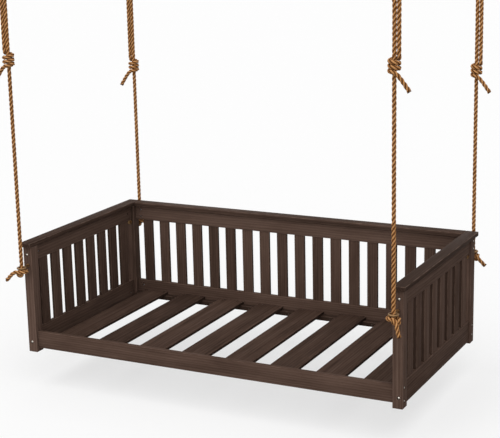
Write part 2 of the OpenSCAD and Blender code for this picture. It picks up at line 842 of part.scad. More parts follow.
bed_slat(2);  // bed_slat_3
bed_slat(3);  // bed_slat_4
bed_slat(4);  // bed_slat_5
bed_slat(5);  // bed_slat_6
bed_slat(6);  // bed_slat_7
bed_slat(7);  // bed_slat_8
face_bolts();
side_bolts();
barrel_nuts();
slat_screws();
ledger_screws();
cap_dowels();
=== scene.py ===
"""Looks of the hanging swing bed: stained boards, laid ropes with their knots, plated fittings."""
import math
import random

import bmesh
import bpy
from mathutils import Matrix, Vector


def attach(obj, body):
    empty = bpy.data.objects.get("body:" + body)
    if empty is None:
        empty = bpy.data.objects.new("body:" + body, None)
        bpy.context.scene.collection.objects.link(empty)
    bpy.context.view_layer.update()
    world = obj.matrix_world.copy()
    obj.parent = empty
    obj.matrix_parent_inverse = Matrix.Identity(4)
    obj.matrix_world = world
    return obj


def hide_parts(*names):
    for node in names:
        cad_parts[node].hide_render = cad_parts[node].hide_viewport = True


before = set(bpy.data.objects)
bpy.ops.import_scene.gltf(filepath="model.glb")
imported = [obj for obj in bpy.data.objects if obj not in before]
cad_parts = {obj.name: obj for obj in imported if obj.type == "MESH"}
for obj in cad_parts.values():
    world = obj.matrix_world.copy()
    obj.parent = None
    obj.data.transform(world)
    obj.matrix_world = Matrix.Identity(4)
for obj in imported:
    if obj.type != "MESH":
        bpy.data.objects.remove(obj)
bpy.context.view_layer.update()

MM = 0.001
TURN = 2 * math.pi
CORNERS = ("fl", "fr", "bl", "br")


# ---------- camera, at the photograph's viewing angle ----------
PHOTO_WIDTH = 500                     # pixels
PHOTO_HEIGHT = 438
SENSOR = 36.0                         # millimetres
CAMERA_PLACE = Vector((2.9808, -5.8842, 0.2214))
CAMERA_TURN = -0.4713                 # radians from +Y, negative to the left
CAMERA_TILT = 0.2374                  # radians below the horizon
CAMERA_ROLL = -0.0229                 # radians
CAMERA_FOCUS = 1351.3                 # focal length in pixels
CAMERA_CENTRE = (245.4, 218.2)        # pixel on the lens axis


def make_camera():
    data = bpy.data.cameras.new("camera")
    data.sensor_width = SENSOR
    data.lens = CAMERA_FOCUS / PHOTO_WIDTH * SENSOR
    data.shift_x = (PHOTO_WIDTH / 2 - CAMERA_CENTRE[0]) / PHOTO_WIDTH
    data.shift_y = (CAMERA_CENTRE[1] - PHOTO_HEIGHT / 2) / PHOTO_WIDTH
    forward = Vector((math.sin(CAMERA_TURN) * math.cos(CAMERA_TILT),
                      math.cos(CAMERA_TURN) * math.cos(CAMERA_TILT),
                      -math.sin(CAMERA_TILT)))
    level = Vector((math.cos(CAMERA_TURN), -math.sin(CAMERA_TURN), 0))
    upright = level.cross(forward)
    right = math.cos(CAMERA_ROLL) * level + math.sin(CAMERA_ROLL) * upright
    up = right.cross(forward)
    turned = Matrix((right, up, -forward)).transposed().to_4x4()
    camera = bpy.data.objects.new("camera", data)
    camera.matrix_world = Matrix.Translation(CAMERA_PLACE) @ turned
    bpy.context.scene.collection.objects.link(camera)
    bpy.context.scene.camera = camera


make_camera()


# ---------- small helpers ----------
def new_object(name, mesh):
    piece = bpy.data.objects.new(name, mesh)
    bpy.context.scene.collection.objects.link(piece)
    return piece


SHORTEST = 1e-9                       # keeps a step of no length from dividing by zero


def spread(line, count):
    """count points along a line, at even steps."""
    ends = [0.0]
    for a, b in zip(line, line[1:]):
        ends.append(ends[-1] + (b - a).length)
    points, k = [], 0
    for i in range(count):
        s = ends[-1] * i / (count - 1)
        while k < len(ends) - 2 and ends[k + 1] < s:
            k += 1
        part = (s - ends[k]) / max(ends[k + 1] - ends[k], SHORTEST)
        points.append(line[k].lerp(line[k + 1], part))
    return points


def line_length(points):
    return sum((b - a).length for a, b in zip(points, points[1:]))


def curve_through(points, steps):
    """A smooth curve through the points, as in the part's source."""
    made = []
    for i in range(len(points) - 1):
        a, b = points[max(i - 1, 0)], points[i]
        c, d = points[i + 1], points[min(i + 2, len(points) - 1)]
        for k in range(steps):
            t = k / steps
            bend = 2 * a - 5 * b + 4 * c - d + t * (3 * (b - c) + d - a)
            made.append(b + 0.5 * t * ((c - a) + t * bend))
    return made + [points[-1]]


# ---------- rope routes, repeated from the part's source, for a right-hand rope ----------
ROPE_D = 20 * MM
ROPE_R = ROPE_D / 2
HANG_H = 2050 * MM                    # ceiling above the feet
EYE_Z = 460 * MM - HANG_H             # middle of the eye bolts' rings
HOOK_X = 990 * MM
HOOK_Y = 575 * MM
HOOK_DROP = 49 * MM                   # middle of a screw eye's ring below the ceiling
SCREW_EYE_R = 30 * MM                 # inside of that ring
SLIDE_GAP = 0.4 * MM                  # between a screw eye and its thimble
THIMBLE_R = 27 * MM                   # inside of a thimble
THIMBLE_WALL = 7 * MM                 # from there to the bottom of its groove
SEAT_GAP = 0.2 * MM                   # between the groove and the rope
THIMBLE_DROP = HOOK_DROP + SCREW_EYE_R - SLIDE_GAP + THIMBLE_R
ARC_R = THIMBLE_R + THIMBLE_WALL + ROPE_R + SEAT_GAP
TURN_GAP = 0.5 * MM                   # between neighbouring lengths of rope
LEG_STEP = ROPE_D + TURN_GAP          # second leg beside the first
LEG_DROP = 140 * MM                   # height over which the legs come together
LEG_LEAD = 1 * MM                     # straight leg's end below that

KNOT_RUN = ROPE_D                     # straight run above an upper knot's turns
KNOT_BEND = 0.8 * ROPE_D              # bend from the leg into the turns
KNOT_TURNS = 2.75
PITCH = 1.05 * ROPE_D                 # from turn to turn
RISE = math.atan(PITCH / (TURN * LEG_STEP))
# height of the last turn's end above the feet
UPPER_KNOT_H = {"fl": 1478 * MM, "fr": 1524 * MM, "bl": 1310 * MM, "br": 1360 * MM}
# free ends past the last turn, in millimetres: out, back, up
UPPER_TAIL = [(11, 0, -3), (23, 0, -13), (36, 1, -28), (49, 2, -45), (62, 3, -63), (75, 4, -81)]

LOW_R = 24 * MM                       # radius of a lower knot's turn
LOW_SWEEP = math.radians(270)
LOW_END = math.radians(270)           # direction in which the turn ends, from +X
LOW_PITCH = 10 * MM                   # rise in a full turn
LOW_SAG = 9 * MM                      # depth of the bight under the middle
LOW_BEND = 10 * MM                    # bend from the bight into the turn
LOW_START = 10.5 * MM                 # start of the knot below the ring's middle
LOW_TOP = 16 * MM                     # the turn's top below the ring's middle
LOW_ANGLE = math.atan(LOW_PITCH / (TURN * LOW_R))
LOW_BEND_SWEEP = LOW_BEND * (1 - math.sin(LOW_ANGLE)) / LOW_R
# depth to which the rope runs straight down the middle, below the ring's middle
LOW_CORE = LOW_TOP + LOW_PITCH * (LOW_SWEEP - LOW_BEND_SWEEP) / TURN + LOW_BEND * math.cos(LOW_ANGLE)
TAIL_OUT = [(13, -4, 0), (28, -8, -5), (43, -9, -17), (58, -8, -32), (73, -6, -47)]
TAIL_DOWN = [(12, -5, -1), (22, -10, -8), (28, -12, -22), (31, -11, -40), (34, -9, -58), (37, -7, -76)]
LOWER_TAIL = {"fl": TAIL_OUT, "fr": TAIL_DOWN, "bl": TAIL_OUT, "br": TAIL_OUT}

CURVE_STEPS = 24                      # points on a smooth stretch of a route
BEND_STEPS = 8                        # points on the bend into an upper knot
WIND_STEPS = 200                      # points on an upper knot's turns
LOW_WIND_STEPS = 96                   # points on a lower knot's turn
TAIL_STEPS = 8                        # points between two given points of a tail


def ease(t):
    """From 0 to 1, level at both ends."""
    return (1 - math.cos(math.pi * t)) / 2


def on_cylinder(r, u, v, start=0.0):
    """The point that lies u round a cylinder of radius r, and v down it."""
    return Vector((r * math.cos(start + u / r), r * math.sin(start + u / r), -v))


def tail_points(last, tail):
    return curve_through([last] + [last + Vector(q) * MM for q in tail], TAIL_STEPS)


def raised(points, z):
    return [p + Vector((0, 0, z)) for p in points]


def knot_top(corner):
    """The height at which an upper knot starts."""
    turned = KNOT_BEND * (1 - math.sin(RISE)) / (TURN * LEG_STEP)
    drop = KNOT_RUN + KNOT_BEND * math.cos(RISE) + PITCH * (KNOT_TURNS - turned)
    return UPPER_KNOT_H[corner] - HANG_H + drop


def rope_route(corner):
    """Up from the lower ring, over the thimble, and down beside itself to the upper knot."""
    points = [Vector((0, 0, EYE_Z - ROPE_R)), Vector((0, 0, -THIMBLE_DROP - LEG_DROP - LEG_LEAD))]
    for k in range(CURVE_STEPS, 0, -1):
        t = k / CURVE_STEPS
        points.append(Vector((-ARC_R * (1 - ease(t)), 0, -THIMBLE_DROP - LEG_DROP * t)))
    for k in range(CURVE_STEPS + 1):
        a = math.pi * (1 - k / CURVE_STEPS)
        points.append(Vector((ARC_R * math.cos(a), 0, ARC_R * math.sin(a) - THIMBLE_DROP)))
    for k in range(1, CURVE_STEPS + 1):
        t = k / CURVE_STEPS
        points.append(Vector((ARC_R + (LEG_STEP - ARC_R) * ease(t), 0, -THIMBLE_DROP - LEG_DROP * t)))
    points.append(Vector((LEG_STEP, 0, knot_top(corner))))
    return points


def upper_knot_route(corner):
    """On down the second leg, in close turns round the first, and out in the tail."""
    turned = math.pi / 2 - RISE
    v0 = KNOT_RUN + KNOT_BEND * math.sin(turned)
    a0, a1 = KNOT_BEND * (1 - math.cos(turned)) / LEG_STEP, TURN * KNOT_TURNS

    def on_turns(a):
        return on_cylinder(LEG_STEP, a * LEG_STEP, v0 + PITCH * (a - a0) / TURN)

    points = [Vector((LEG_STEP, 0, 0))]
    for k in range(BEND_STEPS):
        b = turned * k / BEND_STEPS
        u, v = KNOT_BEND * (1 - math.cos(b)), KNOT_RUN + KNOT_BEND * math.sin(b)
        points.append(on_cylinder(LEG_STEP, u, v))
    points += [on_turns(a0 + (a1 - a0) * k / WIND_STEPS) for k in range(WIND_STEPS)]
    points += tail_points(on_turns(a1), UPPER_TAIL)
    return raised(points, knot_top(corner))


def lower_knot_route(corner):
    """Down from the ring, out in a bight, round in a rising turn, and out in the tail."""
    turned = math.pi / 2 - LOW_ANGLE
    start = LOW_END - LOW_SWEEP
    v0 = LOW_CORE - LOW_BEND * math.sin(turned)
    a0 = LOW_BEND_SWEEP
    points = [Vector((0, 0, -LOW_START))]
    for k in range(CURVE_STEPS):
        t = k / CURVE_STEPS
        r, sag = LOW_R * ease(t), LOW_SAG * math.sin(math.pi * t)
        points.append(Vector((r * math.cos(start), r * math.sin(start), -LOW_CORE - sag)))
    for k in range(CURVE_STEPS):
        b = turned * k / CURVE_STEPS
        u, v = LOW_BEND * (1 - math.cos(b)), LOW_CORE - LOW_BEND * math.sin(b)
        points.append(on_cylinder(LOW_R, u, v, start))
    for k in range(LOW_WIND_STEPS):
        a = a0 + (LOW_SWEEP - a0) * k / LOW_WIND_STEPS
        points.append(on_cylinder(LOW_R, a * LOW_R, v0 - LOW_PITCH * (a - a0) / TURN, start))
    points += tail_points(Vector((0, -LOW_R, -LOW_TOP)), LOWER_TAIL[corner])
    return raised(points, EYE_Z)


def placed(points, corner):
    """A right-hand route at its own corner: mirrored for the left-hand ropes."""
    side = 1 if corner[1] == "r" else -1
    back = 1 if corner[0] == "b" else -1
    return [Vector((side * (HOOK_X + p.x), back * HOOK_Y + p.y, p.z)) for p in points]


# ---------- laid rope: three strands that turn about the route ----------
STRANDS = 3
STRAND_R = 0.565 * ROPE_R
STRAND_OFF = 0.45 * ROPE_R            # middle of a strand from the rope's middle
LAY = 70 * MM                         # length in which a strand goes once round
STRAND_SIDES = 10
RING_STEP = 3 * MM
FEWEST_RINGS = 4
START_NORMAL = Vector((0.3, 1, 0.2))
NEST_TURN = math.radians(30)          # turns a leg's strands into the grooves of the other leg
UPPER_KNOT_PHASE = 0.7
LOWER_KNOT_PHASE = 1.9
CUT_OPENING = 0.22                    # share by which the strands open at a cut end
CUT_OPEN_RUN = 0.9 * ROPE_D
CUT_DARK_RUN = 0.6 * ROPE_D
UNEVENNESS = 0.03                     # share by which a strand's radius varies
UNEVEN_TURN = 37                      # radians of that wave in one rope diameter
UNEVEN_SHIFT = 2.1                    # radians of that wave between two strands


def frames_along(points):
    """Tangent and a normal that doesn't twist, at each point."""
    last = len(points) - 1
    tangents = [(points[min(i + 1, last)] - points[max(i - 1, 0)]).normalized() for i in range(last + 1)]
    normal = START_NORMAL
    normals = []
    for t in tangents:
        normal = (normal - normal.dot(t) * t).normalized()
        normals.append(normal.copy())
    return tangents, normals


def nested_phase(route):
    """The phase at which each leg's strands lie in the other's grooves, past the bend at the top."""
    top = max(range(len(route)), key=lambda i: route[i].z)
    start = math.atan2(START_NORMAL.y, START_NORMAL.x)
    return NEST_TURN - start - TURN * line_length(route[:top + 1]) / LAY


def near_end(left, run):
    """0 until run before the rope's end, then up to 1 at the end."""
    return max(0.0, 1 - left / run)


def laid_rope(name, route, phase=0.0, open_end=False):
    """A mesh of three strands along the route, with a slightly opened cut end where asked."""
    length = line_length(route)
    count = max(int(length / RING_STEP), FEWEST_RINGS)
    points = spread(route, count)
    tangents, normals = frames_along(points)
    verts, faces, uvs, groove, tip = [], [], [], [], []
    for strand in range(STRANDS):
        base = len(verts)
        for i, (p, t, n) in enumerate(zip(points, tangents, normals)):
            s = length * i / (count - 1)
            left = length - s
            # right-hand lay
            turn = phase + TURN * (s / LAY + strand / STRANDS)
            out = math.cos(turn) * n + math.sin(turn) * t.cross(n)
            across = t.cross(out)
            opened = 1 + CUT_OPENING * near_end(left, CUT_OPEN_RUN) if open_end else 1.0
            centre = p + STRAND_OFF * opened * out
            wave = math.sin(UNEVEN_TURN * s / ROPE_D + strand * UNEVEN_SHIFT)
            radius = STRAND_R * (1 + UNEVENNESS * wave)
            for k in range(STRAND_SIDES):
                a = TURN * k / STRAND_SIDES
                verts.append(centre + radius * (math.cos(a) * out + math.sin(a) * across))
                # 0 on a strand's outside, 1 towards the rope's middle: the material paints highlight and
                # shade by it
                groove.append((1 - math.cos(a)) / 2)
                tip.append(near_end(left, CUT_DARK_RUN) if open_end else 0.0)
        for i in range(count - 1):
            ring = base + i * STRAND_SIDES
            v0, v1 = length * i / (count - 1), length * (i + 1) / (count - 1)
            for k in range(STRAND_SIDES):
                a, b = ring + k, ring + (k + 1) % STRAND_SIDES
                faces.append((a, b, b + STRAND_SIDES, a + STRAND_SIDES))
                u0, u1 = k / STRAND_SIDES, (k + 1) / STRAND_SIDES
                uvs += [(u0, v0), (u1, v0), (u1, v1), (u0, v1)]
        for first, at_start in ((base, True), (base + (count - 1) * STRAND_SIDES, False)):
            ring = list(range(first, first + STRAND_SIDES))
            faces.append(tuple(reversed(ring)) if at_start else tuple(ring))
            uvs += [(0.5, 0.0 if at_start else length)] * STRAND_SIDES
    mesh = bpy.data.meshes.new(name)
    mesh.from_pydata(verts, [], faces)
    layer = mesh.uv_layers.new(name="yarn")
    layer.data.foreach_set("uv", [x for uv in uvs for x in uv])
    for attribute, values in (("groove", groove), ("tip", tip)):
        mesh.attributes.new(attribute, "FLOAT", "POINT").data.foreach_set("value", values)
    mesh.polygons.foreach_set("use_smooth", [True] * len(mesh.polygons))
    mesh.update()
    return new_object(name, mesh), points


# ---------- node helpers ----------
# a Mix node's sockets for colours: its factor and two colours, and the colour that comes out
MIX_FACTOR, MIX_A, MIX_B = 0, 6, 7
MIX = 2


class Nodes:
    """A node tree, with short calls to add, set and join nodes."""

    def __init__(self, tree):
        self.tree = tree
        tree.nodes.clear()

    def add(self, kind, **settings):
        node = self.tree.nodes.new(kind)
        for key, value in settings.items():
            setattr(node, key, value)
        return node

    def join(self, a, out, b, into):
        self.tree.links.new(a.outputs[out], b.inputs[into])

    def set(self, node, **values):
        for key, value in values.items():
            node.inputs[key.replace("_", " ")].default_value = value
        return node

    def noise(self, source, out, scale, detail, roughness, stretch=(1, 1, 1)):
        mapping = self.set(self.add("ShaderNodeMapping"), Scale=stretch)
        self.join(source, out, mapping, "Vector")
        node = self.set(self.add("ShaderNodeTexNoise"), Scale=scale, Detail=detail, Roughness=roughness)
        self.join(mapping, "Vector", node, "Vector")
        return node

    def ramp(self, source, out, stops):
        node = self.add("ShaderNodeValToRGB")
        elements = node.color_ramp.elements
        while len(elements) < len(stops):
            elements.new(0.5)
        for element, (place, colour) in zip(elements, stops):
            element.position = place
            element.color = (*colour, 1)
        self.join(source, out, node, "Fac")
        return node

    def grey_ramp(self, source, out, low, high, bottom=0.0, top=1.0):
        return self.ramp(source, out, [(low, (bottom,) * 3), (high, (top,) * 3)])

    def map_range(self, source, out, low, high, bottom=0.0, top=1.0):
        node = self.add("ShaderNodeMapRange")
        self.set(node, From_Min=low, From_Max=high, To_Min=bottom, To_Max=top)
        self.join(source, out, node, "Value")
        return node

    def maths(self, kind, a, out, value):
        """A Math node of one output with another, or with a number."""
        node = self.add("ShaderNodeMath", operation=kind)
        self.join(a, out, node, 0)
        if isinstance(value, tuple):
            self.join(value[0], value[1], node, 1)
        else:
            node.inputs[1].default_value = value
        return node

    def weighted_sum(self, parts):
        """The sum of outputs, each given as node, output and weight."""
        scaled = [self.maths("MULTIPLY", node, out, weight) for node, out, weight in parts]
        total = scaled[0]
        for part in scaled[1:]:
            total = self.maths("ADD", total, 0, (part, 0))
        return total

    def blend(self, kind, factor, a, b):
        """Mixes colours a and b, each a (node, output) pair or a colour, by the factor's pair."""
        node = self.add("ShaderNodeMix", data_type="RGBA", blend_type=kind)
        for value, socket in ((factor, MIX_FACTOR), (a, MIX_A), (b, MIX_B)):
            if isinstance(value[0], bpy.types.Node):
                self.join(value[0], value[1], node, socket)
            else:
                node.inputs[socket].default_value = (*value, 1)
        return node

    def bump(self, height, out, strength, distance, under=None):
        node = self.set(self.add("ShaderNodeBump"), Strength=strength, Distance=distance)
        self.join(height, out, node, "Height")
        if under:
            self.join(under, "Normal", node, "Normal")
        return node


class Shader(Nodes):
    """A new material's node tree, with its shader."""

    def __init__(self, name):
        self.material = bpy.data.materials.new(name)
        self.material.use_nodes = True
        super().__init__(self.material.node_tree)
        self.output = self.add("ShaderNodeOutputMaterial")
        self.surface = self.add("ShaderNodeBsdfPrincipled")
        self.join(self.surface, "BSDF", self.output, "Surface")


# ---------- materials ----------
# noises in the wood: detail, roughness, and scale per metre along, across and through the board
FIBRE = (5.0, 0.62, (9, 330, 330))
STREAK = (3.0, 0.5, (1.6, 46, 46))
PATCH = (3.0, 0.55, (3.5, 15, 15))
CHIPS = (2.0, 0.5, (20, 60, 60))      # where the stain is rubbed off the edges
PORES = (2.0, 0.5, (55, 1500, 1500))
RING_STRETCH = (0.06, 1, 1)
PORE_COLOUR = (0.35, 0.3, 0.27)


def wood_material(name, dark, mid, light, worn):
    """Stained wood. The board's own coordinates come in the attribute grain: along, across, through. Its
    tone, with painted shade and light added, comes in another attribute.
    """
    m = Shader(name)
    grain = m.add("ShaderNodeAttribute", attribute_name="grain")
    tone_and_shade = m.add("ShaderNodeAttribute", attribute_name="tone_and_shade")
    edge = m.add("ShaderNodeAttribute", attribute_name="edge")
    # growth rings round a pith that lies off the board
    stretch = m.set(m.add("ShaderNodeMapping"), Scale=RING_STRETCH)
    m.join(grain, "Vector", stretch, "Vector")
    rings = m.add("ShaderNodeTexWave", wave_type="RINGS", rings_direction="X", wave_profile="SAW")
    m.set(rings, Scale=26.0, Distortion=3.5, Detail=3.0, Detail_Scale=1.4, Detail_Roughness=0.55)
    m.join(stretch, "Vector", rings, "Vector")
    fibre, streak, patch, chips, pores = (m.noise(grain, "Vector", 1.0, *kind)
                                          for kind in (FIBRE, STREAK, PATCH, CHIPS, PORES))
    pore = m.grey_ramp(pores, "Fac", 0.60, 0.70)
    total = m.weighted_sum([(rings, "Fac", 0.18), (fibre, "Fac", 0.32),
                            (streak, "Fac", 0.26), (patch, "Fac", 0.34)])
    # the tone adds painted shade and light as well as the board's stain
    total = m.maths("ADD", total, 0, (tone_and_shade, "Fac"))
    colour = m.ramp(total, 0, [(0.34, dark), (0.54, mid), (0.80, light)])
    chipped = m.grey_ramp(chips, "Fac", 0.42, 0.60, bottom=0.12)
    rubbed = m.maths("MULTIPLY", edge, "Fac", (chipped, 0))
    colour = m.blend("MIX", (rubbed, 0), (colour, 0), worn)
    pore_share = m.maths("MULTIPLY", pore, 0, 0.45)
    colour = m.blend("MULTIPLY", (pore_share, 0), (colour, MIX), PORE_COLOUR)
    m.join(colour, MIX, m.surface, "Base Color")
    rough = m.map_range(streak, "Fac", 0.3, 0.7, bottom=0.74, top=0.56)
    m.join(rough, "Result", m.surface, "Roughness")
    m.set(m.surface, Specular_IOR_Level=0.02)
    fine = m.bump(fibre, "Fac", strength=0.35, distance=0.35 * MM)
    deep = m.bump(pore, 0, strength=0.3, distance=-0.3 * MM, under=fine)
    m.join(deep, "Normal", m.surface, "Normal")
    return m.material


YARNS = 7                             # bands round a strand
YARN_STEP = 6.2 * MM                  # length of a band along the strand
ROPE_DARK = (0.175, 0.066, 0.015)
ROPE_MID = (0.375, 0.160, 0.049)
ROPE_LIGHT = (0.64, 0.335, 0.140)
ROPE_CROWN_HIGHLIGHT = (0.74, 0.43, 0.19)       # painted highlight on the outside of a strand
ROPE_GROOVE_SHADE = (0.13, 0.075, 0.035)      # painted shade between the strands
ROPE_CUT = (0.16, 0.13, 0.11)         # at a cut end


def rope_material():
    """Laid natural fibre: twisted yarns on each strand with painted shade on their low parts, painted
    shade between the strands, a painted highlight on the strands' outsides, and dark at a cut end.
    """
    m = Shader("rope_fibre")
    uv = m.add("ShaderNodeUVMap", uv_map="yarn")
    groove = m.add("ShaderNodeAttribute", attribute_name="groove")
    tip = m.add("ShaderNodeAttribute", attribute_name="tip")
    place = m.add("ShaderNodeTexCoord")
    # yarns: bands that turn against the strand
    parts = m.add("ShaderNodeSeparateXYZ")
    m.join(uv, "UV", parts, "Vector")
    around = m.maths("MULTIPLY", parts, "X", YARNS * TURN)
    along = m.maths("MULTIPLY", parts, "Y", TURN / YARN_STEP)
    swing = m.maths("SUBTRACT", around, 0, (along, 0))
    yarns = m.add("ShaderNodeMath", operation="SINE")
    m.join(swing, 0, yarns, 0)
    height = m.map_range(yarns, 0, -1.0, 1.0)
    fibres = m.noise(place, "Object", scale=900.0, detail=4.0, roughness=0.6)
    patches = m.noise(place, "Object", scale=34.0, detail=3.0, roughness=0.55)
    # the yarns' low parts are painted darker, a painted shade of their relief; fibres and patches are the
    # rope's own colour
    shade = m.weighted_sum([(height, 0, 0.22), (fibres, "Fac", 0.45), (patches, "Fac", 0.40)])
    colour = m.ramp(shade, 0, [(0.28, ROPE_DARK), (0.50, ROPE_MID), (0.78, ROPE_LIGHT)])
    crown_highlight = m.grey_ramp(groove, "Fac", 0.0, 0.13, bottom=0.45, top=0.0)
    colour = m.blend("MIX", (crown_highlight, 0), (colour, 0), ROPE_CROWN_HIGHLIGHT)
    # painted shade in the grooves between the strands
    deep = m.grey_ramp(groove, "Fac", 0.09, 0.50, top=0.88)
    colour = m.blend("MULTIPLY", (deep, 0), (colour, MIX), ROPE_GROOVE_SHADE)
    cut = m.maths("MULTIPLY", tip, "Fac", 0.9)
    colour = m.blend("MULTIPLY", (cut, 0), (colour, MIX), ROPE_CUT)
    m.join(colour, MIX, m.surface, "Base Color")
    m.set(m.surface, Roughness=0.88, Specular_IOR_Level=0.08, Sheen_Weight=0.03, Sheen_Roughness=0.5)
    yarn_bump = m.bump(height, 0, strength=0.55, distance=0.6 * MM)
    fibre_bump = m.bump(fibres, "Fac", strength=0.4, distance=0.5 * MM, under=yarn_bump)
    m.join(fibre_bump, "Normal", m.surface, "Normal")
    return m.material


def plated_material(name, bright, dull, roughness):
    """Plated steel with a slightly uneven, brushed finish."""
    m = Shader(name)
    place = m.add("ShaderNodeTexCoord")
    cloud = m.noise(place, "Object", scale=120.0, detail=4.0, roughness=0.6)
    marks = m.noise(place, "Object", scale=1.0, detail=3.0, roughness=0.6, stretch=(2600, 2600, 260))
    colour = m.ramp(cloud, "Fac", [(0.32, dull), (0.68, bright)])
    m.join(colour, 0, m.surface, "Base Color")
    rough = m.map_range(cloud, "Fac", 0.3, 0.7, roughness - 0.08, roughness + 0.12)
    m.join(rough, "Result", m.surface, "Roughness")
    m.set(m.surface, Metallic=1.0)
    bump = m.bump(marks, "Fac", strength=0.12, distance=0.2 * MM)
    m.join(bump, "Normal", m.surface, "Normal")
    return m.material


DARK_STAIN = wood_material("dark_stain",
                           dark=(0.038, 0.0230, 0.0170), mid=(0.075, 0.0455, 0.034),
                           light=(0.126, 0.0800, 0.0615), worn=(0.215, 0.145, 0.114))
SLAT_STAIN = wood_material("slat_stain",
                           dark=(0.036, 0.0215, 0.0158), mid=(0.070, 0.0420, 0.031),
                           light=(0.118, 0.0740, 0.0560), worn=(0.200, 0.134, 0.103))
RAW_WOOD = wood_material("raw_beech",
                         dark=(0.33, 0.20, 0.11), mid=(0.50, 0.34, 0.20),
                         light=(0.63, 0.46, 0.30), worn=(0.66, 0.5, 0.34))
ROPE = rope_material()
ZINC = plated_material("zinc_plate", (0.64, 0.59, 0.53), (0.42, 0.38, 0.335), 0.36)
BRIGHT_ZINC = plated_material("bright_zinc", (0.80, 0.80, 0.79), (0.56, 0.57, 0.58), 0.28)
OXIDE = plated_material("brown_oxide", (0.110, 0.080, 0.062), (0.060, 0.043, 0.034), 0.50)
BRONZE = plated_material("dull_bronze", (0.300, 0.180, 0.085), (0.170, 0.100, 0.048), 0.50)
GALVANISED = plated_material("galvanised", (0.52, 0.54, 0.56), (0.34, 0.35, 0.37), 0.42)


# ---------- ropes ----------
def make_ropes():
    for corner in CORNERS:
        line = placed(rope_route(corner), corner)
        upper = placed(upper_knot_route(corner), corner)
        lower = placed(lower_knot_route(corner), corner)
        rope, centre = laid_rope("laid_rope_" + corner, line, nested_phase(line))
        high_knot, _ = laid_rope("upper_knot_rope_" + corner, upper, UPPER_KNOT_PHASE, True)
        low_knot, _ = laid_rope("lower_knot_rope_" + corner, lower, LOWER_KNOT_PHASE, True)
        for piece, body, node in ((rope, "line_" + corner, "rope_" + corner),
                                  (high_knot, "line_" + corner, "upper_knot_" + corner),
                                  (low_knot, "bed", "lower_knot_" + corner)):
            piece.data.materials.append(ROPE)
            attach(piece, body)
            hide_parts(node)


make_ropes()


# ---------- boards ----------
SAME_PLACE = 5                        # decimals to which vertices in one place agree
SAME_ROW = 3                          # decimals by which boxes are put in order


def loose_boxes(node):
    """The boxes of a node's separate solids, from its own mesh, in order of their low corners."""
    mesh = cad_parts[node].data
    place = {}
    index = []
    for v in mesh.vertices:
        key = tuple(round(x, SAME_PLACE) for x in v.co)
        index.append(place.setdefault(key, len(place)))
    parent = list(range(len(place)))

    def root(i):
        while parent[i] != i:
            parent[i] = parent[parent[i]]
            i = parent[i]
        return i

    for edge in mesh.edges:
        a, b = root(index[edge.vertices[0]]), root(index[edge.vertices[1]])
        parent[a] = b
    boxes = {}
    for key, i in place.items():
        low, high = boxes.setdefault(root(i), (list(key), list(key)))
        for axis in range(3):
            low[axis] = min(low[axis], key[axis])
            high[axis] = max(high[axis], key[axis])
    made = [(Vector(low), Vector(high)) for low, high in boxes.values()]
    return sorted(made, key=lambda box: tuple(round(x, SAME_ROW) for x in box[0]))


CAP_EDGE = 3.0 * MM
POST_EDGE = 2.2 * MM
RAIL_EDGE = 1.8 * MM
SLAT_EDGE = 2.0 * MM
EDGE_SEGMENTS = 3
DRILL_SEGMENTS = 28
SHARP_FROM = math.radians(35)
# how much darker or lighter a listed board is made: partly its own stain, partly painted shade and light
# for how its faces are lit, as on the caps' tops, the back left post and the ledgers; the others differ at
# random
TONES_WITH_PAINTED_LIGHT = {
    "post_fl": 0.16, "post_fr": 0.06, "post_bl": -0.08, "post_br": 0.03,
    "front_rail": 0.03, "back_upper_rail": 0.14, "back_lower_rail": 0.03,
    "left_upper_rail": 0.13, "left_lower_rail": -0.03,
    "right_upper_rail": 0.03, "right_lower_rail": -0.05,
    "left_cap": -0.15, "right_cap": -0.21, "back_cap": -0.10,
    "front_ledger": -0.22, "back_ledger": -0.22,
}
# tones for groups of boards; the platform's slats 2 to 8 are darker as painted shade
GROUP_TONES_WITH_PAINTED_SHADE = {"left_slats": 0.03, "right_slats": 0.03, "back_slats_group": 0.02}
GROUP_TONES_WITH_PAINTED_SHADE.update({"bed_slat_%d" % i: -0.09 for i in range(2, 9)})
TONE_SPREAD = 0.055
RECESS_PAINTED_SHADE = -0.6                    # painted shade in a recess round a bolt or screw head
RECESS_SHADE_FROM = 1.0 * MM          # a face deeper in the board than this lies in a recess
SLAT_SIDE_PAINTED_SHADE = -0.30                # painted shade on the sides of the slats, in the gaps between them
# shares of the eased edge: how near its side a face gets that painted shade, and where the worn tone ends
SIDE_REACH = 0.3
WORN_REACH = 0.95
# how far the pith lies from a board's middle, in metres, along, across and through it
PITH_ALONG = (0, 9)
PITH_ACROSS = (0.05, 0.13)
PITH_THROUGH = (0.03, 0.09)
rng = random.Random(11)


def board(name, low, high, edge_r, tone_and_shade, cutters, side_painted_shade):
    """A board with eased edges, its own grain coordinates and its own tone, painted shade and light
    included.
    """
    bm = bmesh.new()
    bmesh.ops.create_cube(bm, size=1.0)
    place = Matrix.Translation((low + high) / 2) @ Matrix.Diagonal((*(high - low), 1))
    bmesh.ops.transform(bm, matrix=place, verts=bm.verts)
    bmesh.ops.bevel(bm, geom=list(bm.edges), offset=edge_r, segments=EDGE_SEGMENTS, profile=0.5,
                    affect="EDGES", clamp_overlap=True)
    mesh = bpy.data.meshes.new(name)
    bm.to_mesh(mesh)
    bm.free()
    piece = new_object(name, mesh)
    if cutters:
        cut_recesses(piece, cutters)
    finish_board(piece, low, high, edge_r, tone_and_shade, side_painted_shade)
    return piece


